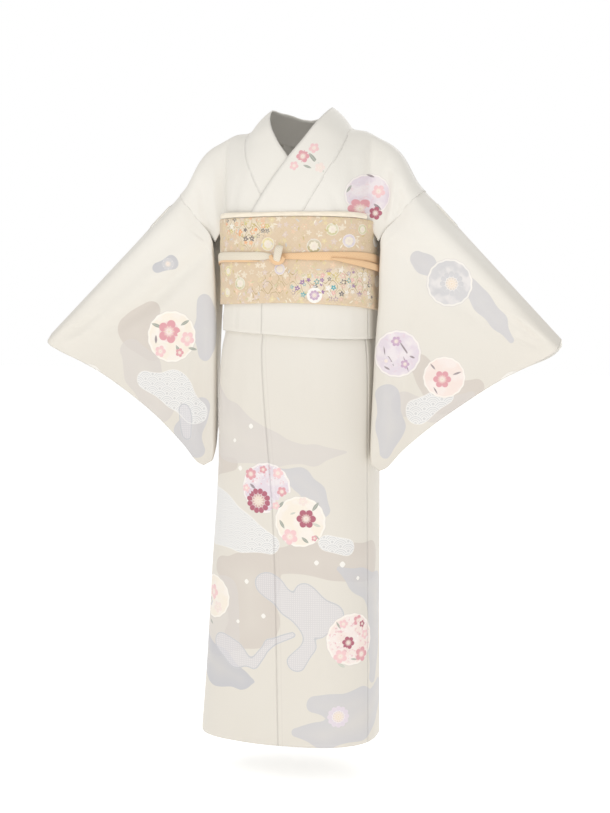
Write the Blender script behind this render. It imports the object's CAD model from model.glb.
# A pale silk visiting kimono with its belt set, in its worn and hollow shape.
# Tables and zone distances are in millimetres, and sizes in the materials are in metres.
import functools
import math

import bmesh
import bpy
import numpy as np
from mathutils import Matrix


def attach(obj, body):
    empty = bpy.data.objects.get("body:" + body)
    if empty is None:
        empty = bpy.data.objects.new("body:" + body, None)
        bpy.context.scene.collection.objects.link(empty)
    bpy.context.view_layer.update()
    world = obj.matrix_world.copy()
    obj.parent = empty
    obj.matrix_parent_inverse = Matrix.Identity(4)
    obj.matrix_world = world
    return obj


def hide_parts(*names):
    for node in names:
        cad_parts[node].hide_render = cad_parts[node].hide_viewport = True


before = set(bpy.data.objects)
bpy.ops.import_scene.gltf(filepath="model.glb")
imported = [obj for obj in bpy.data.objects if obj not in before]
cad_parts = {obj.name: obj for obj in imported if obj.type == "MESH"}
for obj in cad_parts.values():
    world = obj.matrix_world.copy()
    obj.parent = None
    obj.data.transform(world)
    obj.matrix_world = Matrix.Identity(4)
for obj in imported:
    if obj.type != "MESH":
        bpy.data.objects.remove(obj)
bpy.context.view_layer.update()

# Cloth and layers, the same as in the solids
CLOTH = 1.6
DOUBLE_CLOTH = 2.6
COLLAR_CLOTH = 2.2
BELT_CLOTH = 2.4
CORD_THICKNESS = 3
SEWN_OVERLAP = 3
SEAM_SINK = 0.7
SEWN_GAP = 1.2
WRAP_STEP = 3.4
TUCK_STEP = 3.8
TUCK_STAND = 7.5
BELT_STAND_TOP = 7.2
BELT_STAND_BOTTOM = 14.2
BELT_STEP = 3.4

# Heights, measured down from the shoulder line
BODICE_END = 235
BELT_TOP = 215
BELT_BOTTOM = 381
TUCK_FOLD = 449
SKIRT_START = 418
HEM = 1254

# Angles round the body, in degrees from the centre front towards the wearer's left
SIDE_SEAM_LEFT = 72
SIDE_SEAM_RIGHT = -97
WRAP_EDGE = -84
TUCK_EDGE = -66
UNDER_EDGE = 80
UNDER_SEAM = 10
UNDER_TUCK_EDGE = 30

SQUARENESS = 2.6
SECTION_DOWN = [150, 215, 300, 381, 440, 470, 520, 640, 850, 1245]
SECTION_SIDE = [151, 150, 146, 143, 145, 150, 154, 156, 157, 158]
SECTION_FRONT = [116, 115, 112, 109, 110, 114, 116, 118, 118, 119]
SECTION_BACK = [115, 115, 112, 109, 113, 118, 122, 126, 128, 130]
SECTION_LEAN = [0, 0, 0, 0, -2, -3, -4, -5, -5, -5]

SHOULDER_ACROSS = [0, 30, 62, 82, 100, 135, 160, 188, 208, 235, 262]
SHOULDER_HEIGHT = [12, 10, -4, -22, -44, -50, -62, -78, -100, -148, -176]
FRONT_REACH = [231, 229, 217, 193, 171, 165, 120, 70, 58, 52, 50]
BACK_REACH = [120, 120, 115, 110, 105, 100, 90, 70, 58, 52, 50]
ARM_DEPTH = 44
ARM_BLEND = 8

# The collar's inner and outer line: side, inner across, inner down, outer across, outer down
COLLAR = [
    (-1, -89, 235, 20, 235), (-1, -62, 192, 45, 188), (-1, -35, 150, 68, 148), (-1, 2, 98, 88, 110),
    (-1, 25, 68, 98, 84), (-1, 46, 34, 103, 62), (0, 60, 3, 105, 46), (1, 52, 5, 94, 56),
    (1, 38, 8, 68, 66), (1, 19, 15, 35, 72), (1, 0, 18, 0, 74),
]
COLLAR_SHOULDER_ROW = 6
SLEEVE_SEAM_TOP = 250
SLEEVE_SEAM_LOW = 166
BODICE_LOW_ACROSS = [0, 134, 142, 150, 158, 166]
BODICE_LOW_DOWN = [235, 235, 234, 238, 248, 262]

# The sleeve's inner edge, soft fold and outer edge, going down each layer
SEWN_SHARE = 0.4
SLEEVE_FRONT = [
    (0.0, None, (268, -3, -184), (522, -39, -449)),
    (0.1, None, (256, -46, -204), (518, -68, -466)),
    (0.25, None, (220, -50, -238), (494, -62, -484)),
    (0.4, (170, -46, -266), (176, -49, -284), (446, -52, -508)),
    (0.55, (182, 2, -372), (167, -45, -398), (387, -52, -541)),
    (0.75, (184, 32, -496), (163, -50, -536), (292, -56, -608)),
    (0.9, (186, 50, -588), (161, -58, -642), (225, -63, -667)),
    (0.96, (187, 56, -618), (161, -60, -682), (196, -66, -700)),
    (1.0, (188, 60, -636), (164, -62, -699), (180, -67, -708)),
]
SLEEVE_BACK = [
    (0.0, None, (268, -3, -184), (522, -39, -449)),
    (0.1, None, (260, 38, -206), (518, -10, -466)),
    (0.25, None, (232, 42, -242), (496, -18, -486)),
    (0.4, (176, 46, -272), (200, 32, -296), (446, -49, -508)),
    (0.55, (187, 66, -378), (198, 20, -404), (387, -49, -541)),
    (0.75, (190, 70, -500), (188, -12, -542), (292, -53, -608)),
    (0.9, (191, 68, -590), (177, -40, -640), (225, -60, -667)),
    (0.96, (191, 66, -620), (172, -52, -678), (196, -63, -700)),
    (1.0, (190, 63, -636), (167, -59, -698), (180, -64, -708)),
]

# The back of the garment and the sleeves use their own stretches of the pattern
BACK_OFFSET = 2000
SLEEVE_OFFSET = 1000
# Any distance that is far from a line or zone
FAR = 500.0


def curve(places, values):
    """A smooth curve through the values, flat outside them."""
    x = np.array(places, float)
    y = np.array(values, float)
    before = np.maximum(np.arange(len(x)) - 1, 0)
    after = np.minimum(np.arange(len(x)) + 1, len(x) - 1)
    slopes = (y[after] - y[before]) / (x[after] - x[before])

    def at(place):
        p = np.clip(np.asarray(place, float), x[0], x[-1])
        i = np.clip(np.searchsorted(x, p, side="right") - 1, 0, len(x) - 2)
        width = x[i + 1] - x[i]
        t = (p - x[i]) / width
        rise = (y[i + 1] - y[i]) * t * t * (3 - 2 * t)
        leave = slopes[i] * width * t * (1 - t) ** 2
        arrive = slopes[i + 1] * width * t * t * (1 - t)
        return y[i] + rise + leave - arrive

    return at


def between(a, b, share):
    return a + (b - a) * share


def spaced(*stretches):
    """Rising places from stretches that join, each given as start, end and count."""
    return np.unique(np.concatenate([np.linspace(*stretch) for stretch in stretches]))


def ease(share):
    t = np.clip(share, 0, 1)
    return t * t * (3 - 2 * t)


side_at = curve(SECTION_DOWN, SECTION_SIDE)
front_at = curve(SECTION_DOWN, SECTION_FRONT)
back_at = curve(SECTION_DOWN, SECTION_BACK)
lean_at = curve(SECTION_DOWN, SECTION_LEAN)
shoulder_at = curve(SHOULDER_ACROSS, SHOULDER_HEIGHT)
front_reach_at = curve(SHOULDER_ACROSS, FRONT_REACH)
back_reach_at = curve(SHOULDER_ACROSS, BACK_REACH)


def bodice_low_at(across):
    return np.interp(across, BODICE_LOW_ACROSS, BODICE_LOW_DOWN)


def body_point(angle, down, lift):
    """Points on the body form, moved out by lift."""
    angle, down, lift = np.broadcast_arrays(np.asarray(angle, float), down, lift)
    turn = np.radians(angle)
    sine = np.sin(turn)
    cosine = np.cos(turn)
    depth = np.where(cosine > 0, front_at(down), back_at(down))
    side = side_at(down)
    total = np.abs(sine / side) ** SQUARENESS + np.abs(cosine / depth) ** SQUARENESS
    radius = total ** (-1 / SQUARENESS)
    x = radius * sine
    y = -radius * cosine
    out_x = np.sign(x) * np.abs(x / side) ** (SQUARENESS - 1) / side
    out_y = np.sign(y) * np.abs(y / depth) ** (SQUARENESS - 1) / depth
    length = np.hypot(out_x, out_y)
    return np.stack([x + lean_at(down) + out_x / length * lift, y + out_y / length * lift, -down], -1)


def bodice_point(across, down, side):
    """Points on the upper body, where side is -1 at the front and 1 at the back."""
    across, down = np.broadcast_arrays(np.asarray(across, float), down)
    distance = np.abs(across)
    wide = np.minimum(distance / side_at(BELT_TOP), 1)
    centre = front_at(BELT_TOP) if side < 0 else back_at(BELT_TOP)
    body_depth = centre * (1 - wide ** SQUARENESS) ** (1 / SQUARENESS)
    depth = (body_depth ** ARM_BLEND + ARM_DEPTH ** ARM_BLEND) ** (1 / ARM_BLEND)
    reach = front_reach_at(distance) if side < 0 else back_reach_at(distance)
    fallen = np.clip((shoulder_at(distance) + down) / reach, 0, 1)
    return np.stack([across, side * depth * np.sqrt(1 - (1 - fallen) ** 2), -down], -1)


ARC_ANGLES = np.linspace(-360, 360, 1441)
arc_ring = body_point(ARC_ANGLES, 850, 0)
arc_steps = np.hypot(*np.diff(arc_ring[:, :2], axis=0).T)
ARC_LENGTHS = np.concatenate([[0], np.cumsum(arc_steps)])
ARC_LENGTHS -= np.interp(0, ARC_ANGLES, ARC_LENGTHS)


def arc_at(angle):
    """Distance round the body from the centre front."""
    return np.interp(angle, ARC_ANGLES, ARC_LENGTHS)


def grid_normals(grid):
    """Outward normals of a grid whose columns run right and rows run down, seen from outside."""
    across = np.gradient(grid, axis=1)
    downwards = np.gradient(grid, axis=0)
    normal = np.cross(downwards, across)
    return normal / np.maximum(np.linalg.norm(normal, axis=-1, keepdims=True), 1e-9)


def raised(grid, lift):
    """The grid moved out along its normals."""
    amount = np.broadcast_to(lift, grid.shape[:2])
    return grid + grid_normals(grid) * amount[..., None]


def mirrored(grid):
    return (grid * [-1, 1, 1])[:, ::-1]


def fold(u, v, points, width, depth):
    """A soft ridge (depth above 0) or trough (below 0) along a line of points, fading at both ends."""
    points = np.array(points, float)
    lengths = np.hypot(*np.diff(points, axis=0).T)
    total = lengths.sum()
    nearest = np.full(u.shape, 1e9)
    place = np.zeros(u.shape)
    run = 0
    for start, end, length in zip(points[:-1], points[1:], lengths):
        du, dv = (end - start) / length
        along = np.clip((u - start[0]) * du + (v - start[1]) * dv, 0, length)
        gap = np.hypot(u - start[0] - along * du, v - start[1] - along * dv)
        closer = gap < nearest
        nearest = np.where(closer, gap, nearest)
        place = np.where(closer, (run + along) / total, place)
        run += length
    fade = np.sin(np.pi * np.clip(place, 0.02, 0.98)) ** 0.6
    return depth * fade * np.exp(-((nearest / width) ** 2))


def folds(u, v, table):
    """The folds of a table added up. A row holds a line of points, a half width and a height."""
    return sum((fold(u, v, *row) for row in table), np.zeros(u.shape))


# The pattern, in the cloth's own measure (across or round, and down)
STROKE_BLEND = 14
ZONE_BLEND = 10


def smooth_union(a, b, blend):
    share = np.clip(0.5 + 0.5 * (b - a) / blend, 0, 1)
    return between(b, a, share) - blend * share * (1 - share)


def stroke_gap(u, v, points):
    """Signed distance, negative inside, to a round-ended stroke through points (across, down, radius)."""
    result = np.full(u.shape, 1e6)
    for (u0, v0, r0), (u1, v1, r1) in zip(points[:-1], points[1:]):
        span = max((u1 - u0) ** 2 + (v1 - v0) ** 2, 1e-6)
        t = np.clip(((u - u0) * (u1 - u0) + (v - v0) * (v1 - v0)) / span, 0, 1)
        gap = np.hypot(u - between(u0, u1, t), v - between(v0, v1, t)) - between(r0, r1, t)
        result = smooth_union(result, gap, STROKE_BLEND)
    return result


def zone_gap(u, v, strokes, shifts=(0,)):
    """Signed distance to strokes that flow together, repeated at each shift to the side."""
    parts = (stroke_gap(u + shift, v, stroke) for shift in shifts for stroke in strokes)
    return functools.reduce(lambda a, b: smooth_union(a, b, ZONE_BLEND), parts)


def ripple(u, v, size, reach):
    """A gentle waver for hand-drawn edges."""
    sideways = np.sin(u / size + 1.3 * np.sin(v / size * 0.7))
    downwards = np.sin(v / size * 1.1 + 2 + np.sin(u / size * 0.6))
    return reach * (sideways + downwards)


# Zones of colour, each made of strokes that flow together
ZONES = {
    "mist": [
        [(-215, 590, 62), (-120, 636, 56), (-30, 666, 32), (60, 674, 17), (122, 670, 6)],
        [(-205, 1010, 40), (-150, 1030, 55), (-130, 960, 36)],
        [(318, 610, 30), (420, 640, 60), (540, 660, 46), (610, 640, 20)],
        [(300, 1100, 30), (380, 1080, 46), (450, 1110, 22)],
        [(-1345, 480, 22), (-1320, 520, 40), (-1280, 590, 34)],
        [(1225, 580, 24), (1300, 590, 20), (1350, 560, 10)],
        [(BACK_OFFSET - 150, 120, 18), (BACK_OFFSET - 90, 150, 34), (BACK_OFFSET - 30, 165, 16)],
        [(BACK_OFFSET + 1230, 420, 26), (BACK_OFFSET + 1320, 470, 40), (BACK_OFFSET + 1380, 500, 18)],
    ],
    "grey": [
        [(-8, 712, 8), (30, 722, 20), (64, 750, 20), (76, 782, 14)],
        [(110, 898, 8), (160, 930, 24), (216, 960, 40), (212, 1060, 30), (200, 1120, 18)],
        [(26, 1226, 10), (80, 1228, 26), (160, 1200, 44), (236, 1168, 30)],
        [(62, 1168, 16), (100, 1174, 24), (160, 1170, 30)],
        [(420, 960, 26), (500, 930, 48), (560, 960, 30)],
        [(1244, 294, 16), (1262, 308, 18), (1276, 322, 10)],
        [(1336, 336, 14), (1372, 376, 18), (1404, 416, 15), (1428, 450, 8)],
        [(-1188, 380, 14), (-1182, 440, 26), (-1184, 486, 14)],
        [(-1190, 590, 20), (-1214, 640, 26), (-1196, 676, 18)],
        [(1190, 560, 22), (1200, 620, 26), (1190, 672, 14)],
        [(BACK_OFFSET - 1210, 560, 24), (BACK_OFFSET - 1250, 520, 40)],
        [(BACK_OFFSET + 60, 110, 14), (BACK_OFFSET + 96, 130, 26), (BACK_OFFSET + 130, 125, 12)],
    ],
    "taupe": [
        [(-130, 905, 24), (-70, 930, 60), (-64, 1010, 52), (-100, 1040, 30)],
        [(-40, 890, 20), (40, 876, 30), (110, 886, 34), (180, 890, 40)],
        [(-236, 690, 26), (-190, 706, 30), (-110, 700, 12)],
        [(330, 820, 26), (390, 850, 36), (460, 840, 16)],
        [(600, 1060, 40), (560, 1100, 34)],
        [(-1300, 400, 20), (-1340, 440, 30), (-1300, 480, 24)],
        [(1250, 500, 20), (1300, 560, 34), (1360, 540, 14)],
    ],
    "wave": [
        [(-240, 780, 40), (-160, 806, 56), (-80, 836, 36), (-26, 852, 18)],
        [(88, 846, 17), (124, 858, 15)],
        [(330, 720, 20), (400, 740, 36), (480, 730, 24)],
        [(-1310, 540, 18), (-1250, 556, 34), (-1205, 600, 26)],
        [(1300, 560, 16), (1250, 590, 24)],
        [(BACK_OFFSET + 1200, 560, 22), (BACK_OFFSET + 1260, 540, 30)],
    ],
    "dotted": [
        [(-34, 930, 24), (10, 966, 22), (46, 1006, 18), (52, 1050, 10), (26, 1086, 20)],
        [(40, 946, 20), (92, 990, 24), (70, 1020, 16)],
        [(-134, 1056, 20), (-100, 1082, 22), (-62, 1096, 8), (-30, 1050, 7), (20, 1030, 8)],
        [(480, 1020, 22), (530, 1040, 26), (580, 1010, 14)],
        [(-1216, 648, 12), (-1224, 600, 16)],
    ],
    "dark": [
        [(-210, 1080, 40), (-140, 1112, 36), (-90, 1126, 18), (-62, 1128, 5)],
        [(-230, 880, 12), (-212, 960, 18), (-222, 1000, 16)],
        [(640, 900, 26), (600, 930, 14)],
        [(-1282, 312, 12), (-1256, 304, 15)],
    ],
}
ZONE_SETS = {"zones_a": ("mist", "grey", "taupe"), "zones_b": ("wave", "dotted", "dark")}

LAVENDER = (0.74, 0.66, 0.72)
CREAM = (0.88, 0.80, 0.69)
PEACH = (0.87, 0.74, 0.68)
PINK = (0.86, 0.56, 0.57)
ROSE = (0.72, 0.33, 0.37)
WINE = (0.42, 0.09, 0.15)
WHITE = (0.92, 0.89, 0.84)
LEAF = (0.29, 0.32, 0.27)
PALE_LEAF = (0.56, 0.58, 0.50)
TWIG = (0.22, 0.17, 0.19)
GREY = (0.62, 0.61, 0.62)
PLUM = (0.56, 0.38, 0.53)
YELLOW = (0.80, 0.68, 0.34)
MOSS = (0.62, 0.58, 0.32)
KHAKI = (0.50, 0.42, 0.22)
LILAC = (0.70, 0.62, 0.68)
GOLD = (0.60, 0.46, 0.18)
PALE_GOLD = (0.88, 0.80, 0.66)

# Round medallions: across, down, radius, turn in degrees, share of small sprays, colour
ROUNDELS = [
    (-34, 742, 50, 10, 1, LAVENDER), (34, 806, 50, 40, 0, CREAM), (136, 1040, 52, 80, 1, PEACH),
    (-160, 970, 44, 0, 0, CREAM), (150, 172, 40, 30, 0.3, LAVENDER), (1209, 480, 46, 0, 0.2, LAVENDER),
    (1300, 524, 40, 50, 0, PEACH), (1308, 342, 46, 20, 0, GREY), (-1256, 452, 52, 15, 0, CREAM),
    (430, 800, 50, 0, 0, CREAM), (500, 850, 44, 60, 1, LAVENDER), (420, 1130, 48, 0, 1, PEACH),
    (600, 760, 40, 20, 0, LAVENDER), (288, 1000, 40, 0, 0, CREAM), (BACK_OFFSET - 96, 176, 38, 0, 1, PEACH),
    (BACK_OFFSET + 100, 150, 34, 40, 0, LAVENDER), (BACK_OFFSET + 1300, 440, 42, 0, 0, CREAM),
    (BACK_OFFSET - 1290, 500, 42, 20, 1, LAVENDER),
]

# Flowers: across, down, radius, turn, petals, colour
FLOWERS = [
    (-50, 768, 25, 12, 12, WINE), (-10, 712, 11, 0, 5, PINK), (-66, 716, 12, 30, 6, ROSE),
    (-40, 706, 8, 0, 5, ROSE), (-2, 748, 10, 20, 5, ROSE), (-14, 776, 8, 0, 5, PINK),
    (-76, 744, 8, 0, 5, PINK), (46, 800, 19, 0, 6, WINE), (14, 836, 16, 25, 5, PINK),
    (40, 766, 9, 10, 5, PEACH), (62, 838, 6, 0, 5, ROSE), (128, 1046, 13, 12, 6, WINE),
    (158, 1072, 15, 0, 5, ROSE), (112, 1072, 14, 30, 5, PINK), (150, 1004, 11, 0, 5, ROSE),
    (118, 1008, 9, 0, 5, PINK), (168, 1034, 10, 20, 5, PINK), (160, 1012, 7, 0, 5, WINE),
    (-162, 962, 16, 0, 5, PINK), (-146, 990, 12, 20, 5, PEACH), (-176, 984, 10, 0, 6, GREY),
    (108, 1192, 22, 0, 12, LAVENDER), (136, 200, 20, 0, 6, ROSE), (166, 166, 13, 20, 5, PINK),
    (160, 208, 13, 0, 5, WINE), (1296, 528, 17, 0, 6, ROSE), (1206, 456, 10, 0, 6, PLUM),
    (1224, 500, 9, 0, 5, PLUM), (1188, 494, 9, 0, 5, LAVENDER), (1312, 344, 24, 0, 12, GREY),
    (-1262, 442, 24, 0, 5, ROSE), (-1222, 456, 15, 20, 5, PINK), (-1280, 482, 12, 0, 5, PINK),
    (-1238, 484, 9, 0, 5, ROSE), (-1262, 306, 13, 0, 6, GREY), (432, 806, 22, 0, 12, WINE),
    (404, 776, 12, 0, 5, PINK), (456, 830, 12, 0, 5, ROSE), (500, 856, 17, 0, 6, ROSE),
    (418, 1136, 20, 0, 6, WINE), (444, 1108, 12, 10, 5, PINK), (602, 762, 16, 0, 5, ROSE),
    (290, 1004, 16, 0, 5, PINK), (30, 100, 13, 0, 6, ROSE), (50, 84, 10, 20, 5, PINK),
    (14, 118, 9, 10, 5, PINK), (64, 122, 10, 0, 5, PEACH), (BACK_OFFSET - 96, 180, 16, 0, 5, WINE),
    (BACK_OFFSET + 98, 150, 13, 0, 5, ROSE), (BACK_OFFSET + 1300, 444, 18, 0, 5, ROSE),
    (BACK_OFFSET - 1290, 504, 18, 0, 12, PLUM),
]

# Leaves and twigs: across, down, half length, turn, width share, colour
LEAVES = [
    (-62, 740, 8, 40, 0.3, TWIG), (-4, 774, 9, -50, 0.34, LEAF), (64, 776, 11, -55, 0.3, LEAF),
    (66, 812, 9, 20, 0.3, PALE_LEAF), (-2, 812, 10, 60, 0.3, LEAF), (44, 842, 9, 40, 0.34, LEAF),
    (20, 790, 6, -20, 0.3, PALE_LEAF), (68, 836, 6, 50, 0.2, LEAF), (108, 1010, 9, 60, 0.2, LEAF),
    (170, 1036, 9, 100, 0.2, TWIG), (140, 1080, 8, 10, 0.2, LEAF), (114, 1090, 9, 30, 0.3, PALE_LEAF),
    (-168, 1024, 8, 30, 0.3, LEAF), (164, 196, 10, 40, 0.3, TWIG), (118, 162, 9, 120, 0.25, LEAF),
    (150, 136, 8, 20, 0.25, TWIG), (1196, 492, 16, 60, 0.08, TWIG), (1222, 470, 20, 55, 0.08, TWIG),
    (1226, 500, 16, 70, 0.08, TWIG), (1184, 474, 9, 80, 0.12, TWIG), (1238, 486, 6, 20, 0.3, TWIG),
    (1190, 508, 7, 30, 0.25, TWIG), (1278, 504, 8, 50, 0.2, TWIG), (1324, 516, 9, -20, 0.2, TWIG),
    (1284, 550, 8, 60, 0.15, TWIG), (-1240, 480, 13, 60, 0.28, LEAF), (-1288, 430, 12, 20, 0.28, LEAF),
    (-1228, 424, 11, -30, 0.28, LEAF), (-1290, 458, 9, 90, 0.28, TWIG), (-1210, 476, 10, 10, 0.28, LEAF),
    (50, 104, 14, 50, 0.25, LEAF), (66, 122, 12, 60, 0.25, PALE_LEAF), (40, 120, 9, 20, 0.25, LEAF),
    (408, 830, 10, 40, 0.3, LEAF), (458, 792, 10, -30, 0.3, LEAF), (520, 836, 10, 50, 0.3, LEAF),
    (440, 1160, 11, 20, 0.3, LEAF), (392, 1120, 11, 80, 0.3, PALE_LEAF),
]
# White dots: across, down, radius
DOTS = [
    (-66, 622, 5), (-104, 652, 4), (-90, 706, 5), (-76, 930, 5), (-40, 996, 5), (-96, 1012, 4), (66, 886, 5),
    (116, 890, 6), (150, 920, 4), (-160, 640, 5), (420, 640, 6), (500, 668, 5),
]
LEAVES += [(across, down, radius, 0, 1, WHITE) for across, down, radius in DOTS]
SILK_MOTIFS = {"roundel": ROUNDELS, "flower": FLOWERS, "leaf": LEAVES}
# Local coordinates and reach of motifs, as shares of their radius
NO_MOTIF = 9.0
MOTIF_REACH = 1.12


def place_motifs(u, v, table, cell):
    """Each face gets the local coordinates of the last motif over it. u and v hold its four corners."""
    local = np.full((*u.shape, 3), NO_MOTIF)
    tint = np.zeros((*u.shape, 4))
    tint[..., 3] = 1
    middle_u = u.mean(axis=1)
    middle_v = v.mean(axis=1)
    for across, down, size, turn, kind, colour in table:
        hit = np.hypot(middle_u - across, middle_v - down) < size * MOTIF_REACH + cell
        if not hit.any():
            continue
        cosine = math.cos(math.radians(turn))
        sine = math.sin(math.radians(turn))
        du = (u[hit] - across) / size
        dv = (v[hit] - down) / size
        local[hit, :, 0] = du * cosine + dv * sine
        local[hit, :, 1] = dv * cosine - du * sine
        local[hit, :, 2] = kind
        tint[hit, :, :3] = colour
    return local, tint


def grid_faces(rows, columns, first=0):
    r, c = np.meshgrid(np.arange(rows - 1), np.arange(columns - 1), indexing="ij")
    a = first + r * columns + c
    return np.stack([a, a + columns, a + columns + 1, a + 1], -1).reshape(-1, 4)


def rim_faces(rows, columns):
    """Quads that close the gap between the outer and the inner grid."""
    count = rows * columns
    top = np.arange(columns)
    low = top + (rows - 1) * columns
    left = np.arange(rows) * columns
    right = left + columns - 1
    faces = []
    for line in (top, low[::-1], left[::-1], right):
        a, b = line[:-1], line[1:]
        faces.append(np.stack([a, b, b + count, a + count], -1))
    return np.concatenate(faces)


VALUE_FIELDS = {"BOOLEAN": "value", "FLOAT": "value", "FLOAT_VECTOR": "vector", "FLOAT_COLOR": "color"}
RIPPLE_SIZE = 13
RIPPLE_REACH = 1.6


def add_values(mesh, name, kind, domain, values):
    mesh.attributes.new(name, kind, domain).data.foreach_set(VALUE_FIELDS[kind], values.ravel())


def add_points(mesh, name, grid, inner=None):
    """A value for each point of the outer grid, and the same or a given value for the inner grid."""
    inside = grid if inner is None else np.full(grid.shape, float(inner))
    add_values(mesh, name, "FLOAT", "POINT", np.stack([grid, inside]))


def sheet_mesh(node, outer, thickness, u, v, sharp_rim):
    """A closed thin sheet whose outer face is the grid, its faces, and those of the outer side alone."""
    inner = outer - grid_normals(outer) * thickness
    rows, columns = outer.shape[:2]
    points = np.stack([outer, inner]) / 1000
    front = grid_faces(rows, columns)
    back = grid_faces(rows, columns, rows * columns)[:, ::-1]
    faces = np.concatenate([front, back, rim_faces(rows, columns)])
    mesh = bpy.data.meshes.new("cloth_" + node)
    mesh.vertices.add(2 * rows * columns)
    mesh.vertices.foreach_set("co", points.ravel())
    mesh.loops.add(faces.size)
    mesh.loops.foreach_set("vertex_index", faces.ravel())
    mesh.polygons.add(len(faces))
    mesh.polygons.foreach_set("loop_start", np.arange(len(faces)) * 4)
    mesh.update(calc_edges=True)
    sharp = np.arange(len(faces)) >= 2 * len(front)
    add_values(mesh, "sharp_face", "BOOLEAN", "FACE", sharp & sharp_rim)
    measure = np.stack([np.tile(u.ravel(), 2), np.tile(v.ravel(), 2)], -1) / 1000
    mesh.uv_layers.new(name="cloth").data.foreach_set("uv", measure[faces].ravel())
    return mesh, faces, front


def cloth(
    node, outer, thickness, u, v, material, crease=0, motifs=SILK_MOTIFS, cell=5, pressed=None,
):
    """A sheet with the pattern's distances on its points and its motifs' coordinates on its outer faces."""
    outer = raised(outer, crease)
    mesh, faces, front = sheet_mesh(node, outer, thickness, u, v, True)
    rows, columns = outer.shape[:2]
    add_points(mesh, "lining", np.zeros((rows, columns)), 1)
    edge = np.minimum(np.arange(columns), np.arange(columns)[::-1])[None, :]
    add_points(mesh, "seam", edge * np.linalg.norm(np.gradient(outer, axis=1), axis=-1))
    add_points(mesh, "pressed", np.full((rows, columns), FAR) if pressed is None else pressed)

    wavering = ripple(u, v, RIPPLE_SIZE, RIPPLE_REACH)
    for attribute, names in ZONE_SETS.items():
        gaps = np.stack([zone_gap(u, v, ZONES[name]) + wavering for name in names], -1)
        add_values(mesh, attribute, "FLOAT_VECTOR", "POINT", np.stack([gaps, np.full_like(gaps, FAR)]))

    spare = len(faces) - len(front)
    for attribute, table in motifs.items():
        local, tint = place_motifs(u.ravel()[front], v.ravel()[front], table, cell)
        local = np.concatenate([local, np.full((spare, 4, 3), NO_MOTIF)])
        tint = np.concatenate([tint, np.ones((spare, 4, 4))])
        add_values(mesh, attribute, "FLOAT_VECTOR", "CORNER", local)
        add_values(mesh, attribute + "_tint", "FLOAT_COLOR", "CORNER", tint)
    return finish_piece(mesh, node, material)


def finish_piece(mesh, node, material):
    """Links the mesh as an object of the same name. A mesh without a node adds to another piece."""
    piece = bpy.data.objects.new(mesh.name, mesh)
    bpy.context.scene.collection.objects.link(piece)
    mesh.materials.append(material)
    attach(piece, "root")
    if node:
        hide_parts(node)
    return piece


# Materials
class Term:
    """A node socket that can be used in sums and products."""

    def __init__(self, nodes, socket):
        self.nodes = nodes
        self.socket = socket

    def __add__(self, other):
        return self.nodes.math("ADD", self, other)

    __radd__ = __add__

    def __sub__(self, other):
        return self.nodes.math("SUBTRACT", self, other)

    def __rsub__(self, other):
        return self.nodes.math("SUBTRACT", other, self)

    def __mul__(self, other):
        return self.nodes.math("MULTIPLY", self, other)

    __rmul__ = __mul__

    def __truediv__(self, other):
        return self.nodes.math("DIVIDE", self, other)

    def __rtruediv__(self, other):
        return self.nodes.math("DIVIDE", other, self)

    def __abs__(self):
        return self.nodes.math("ABSOLUTE", self)


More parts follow.
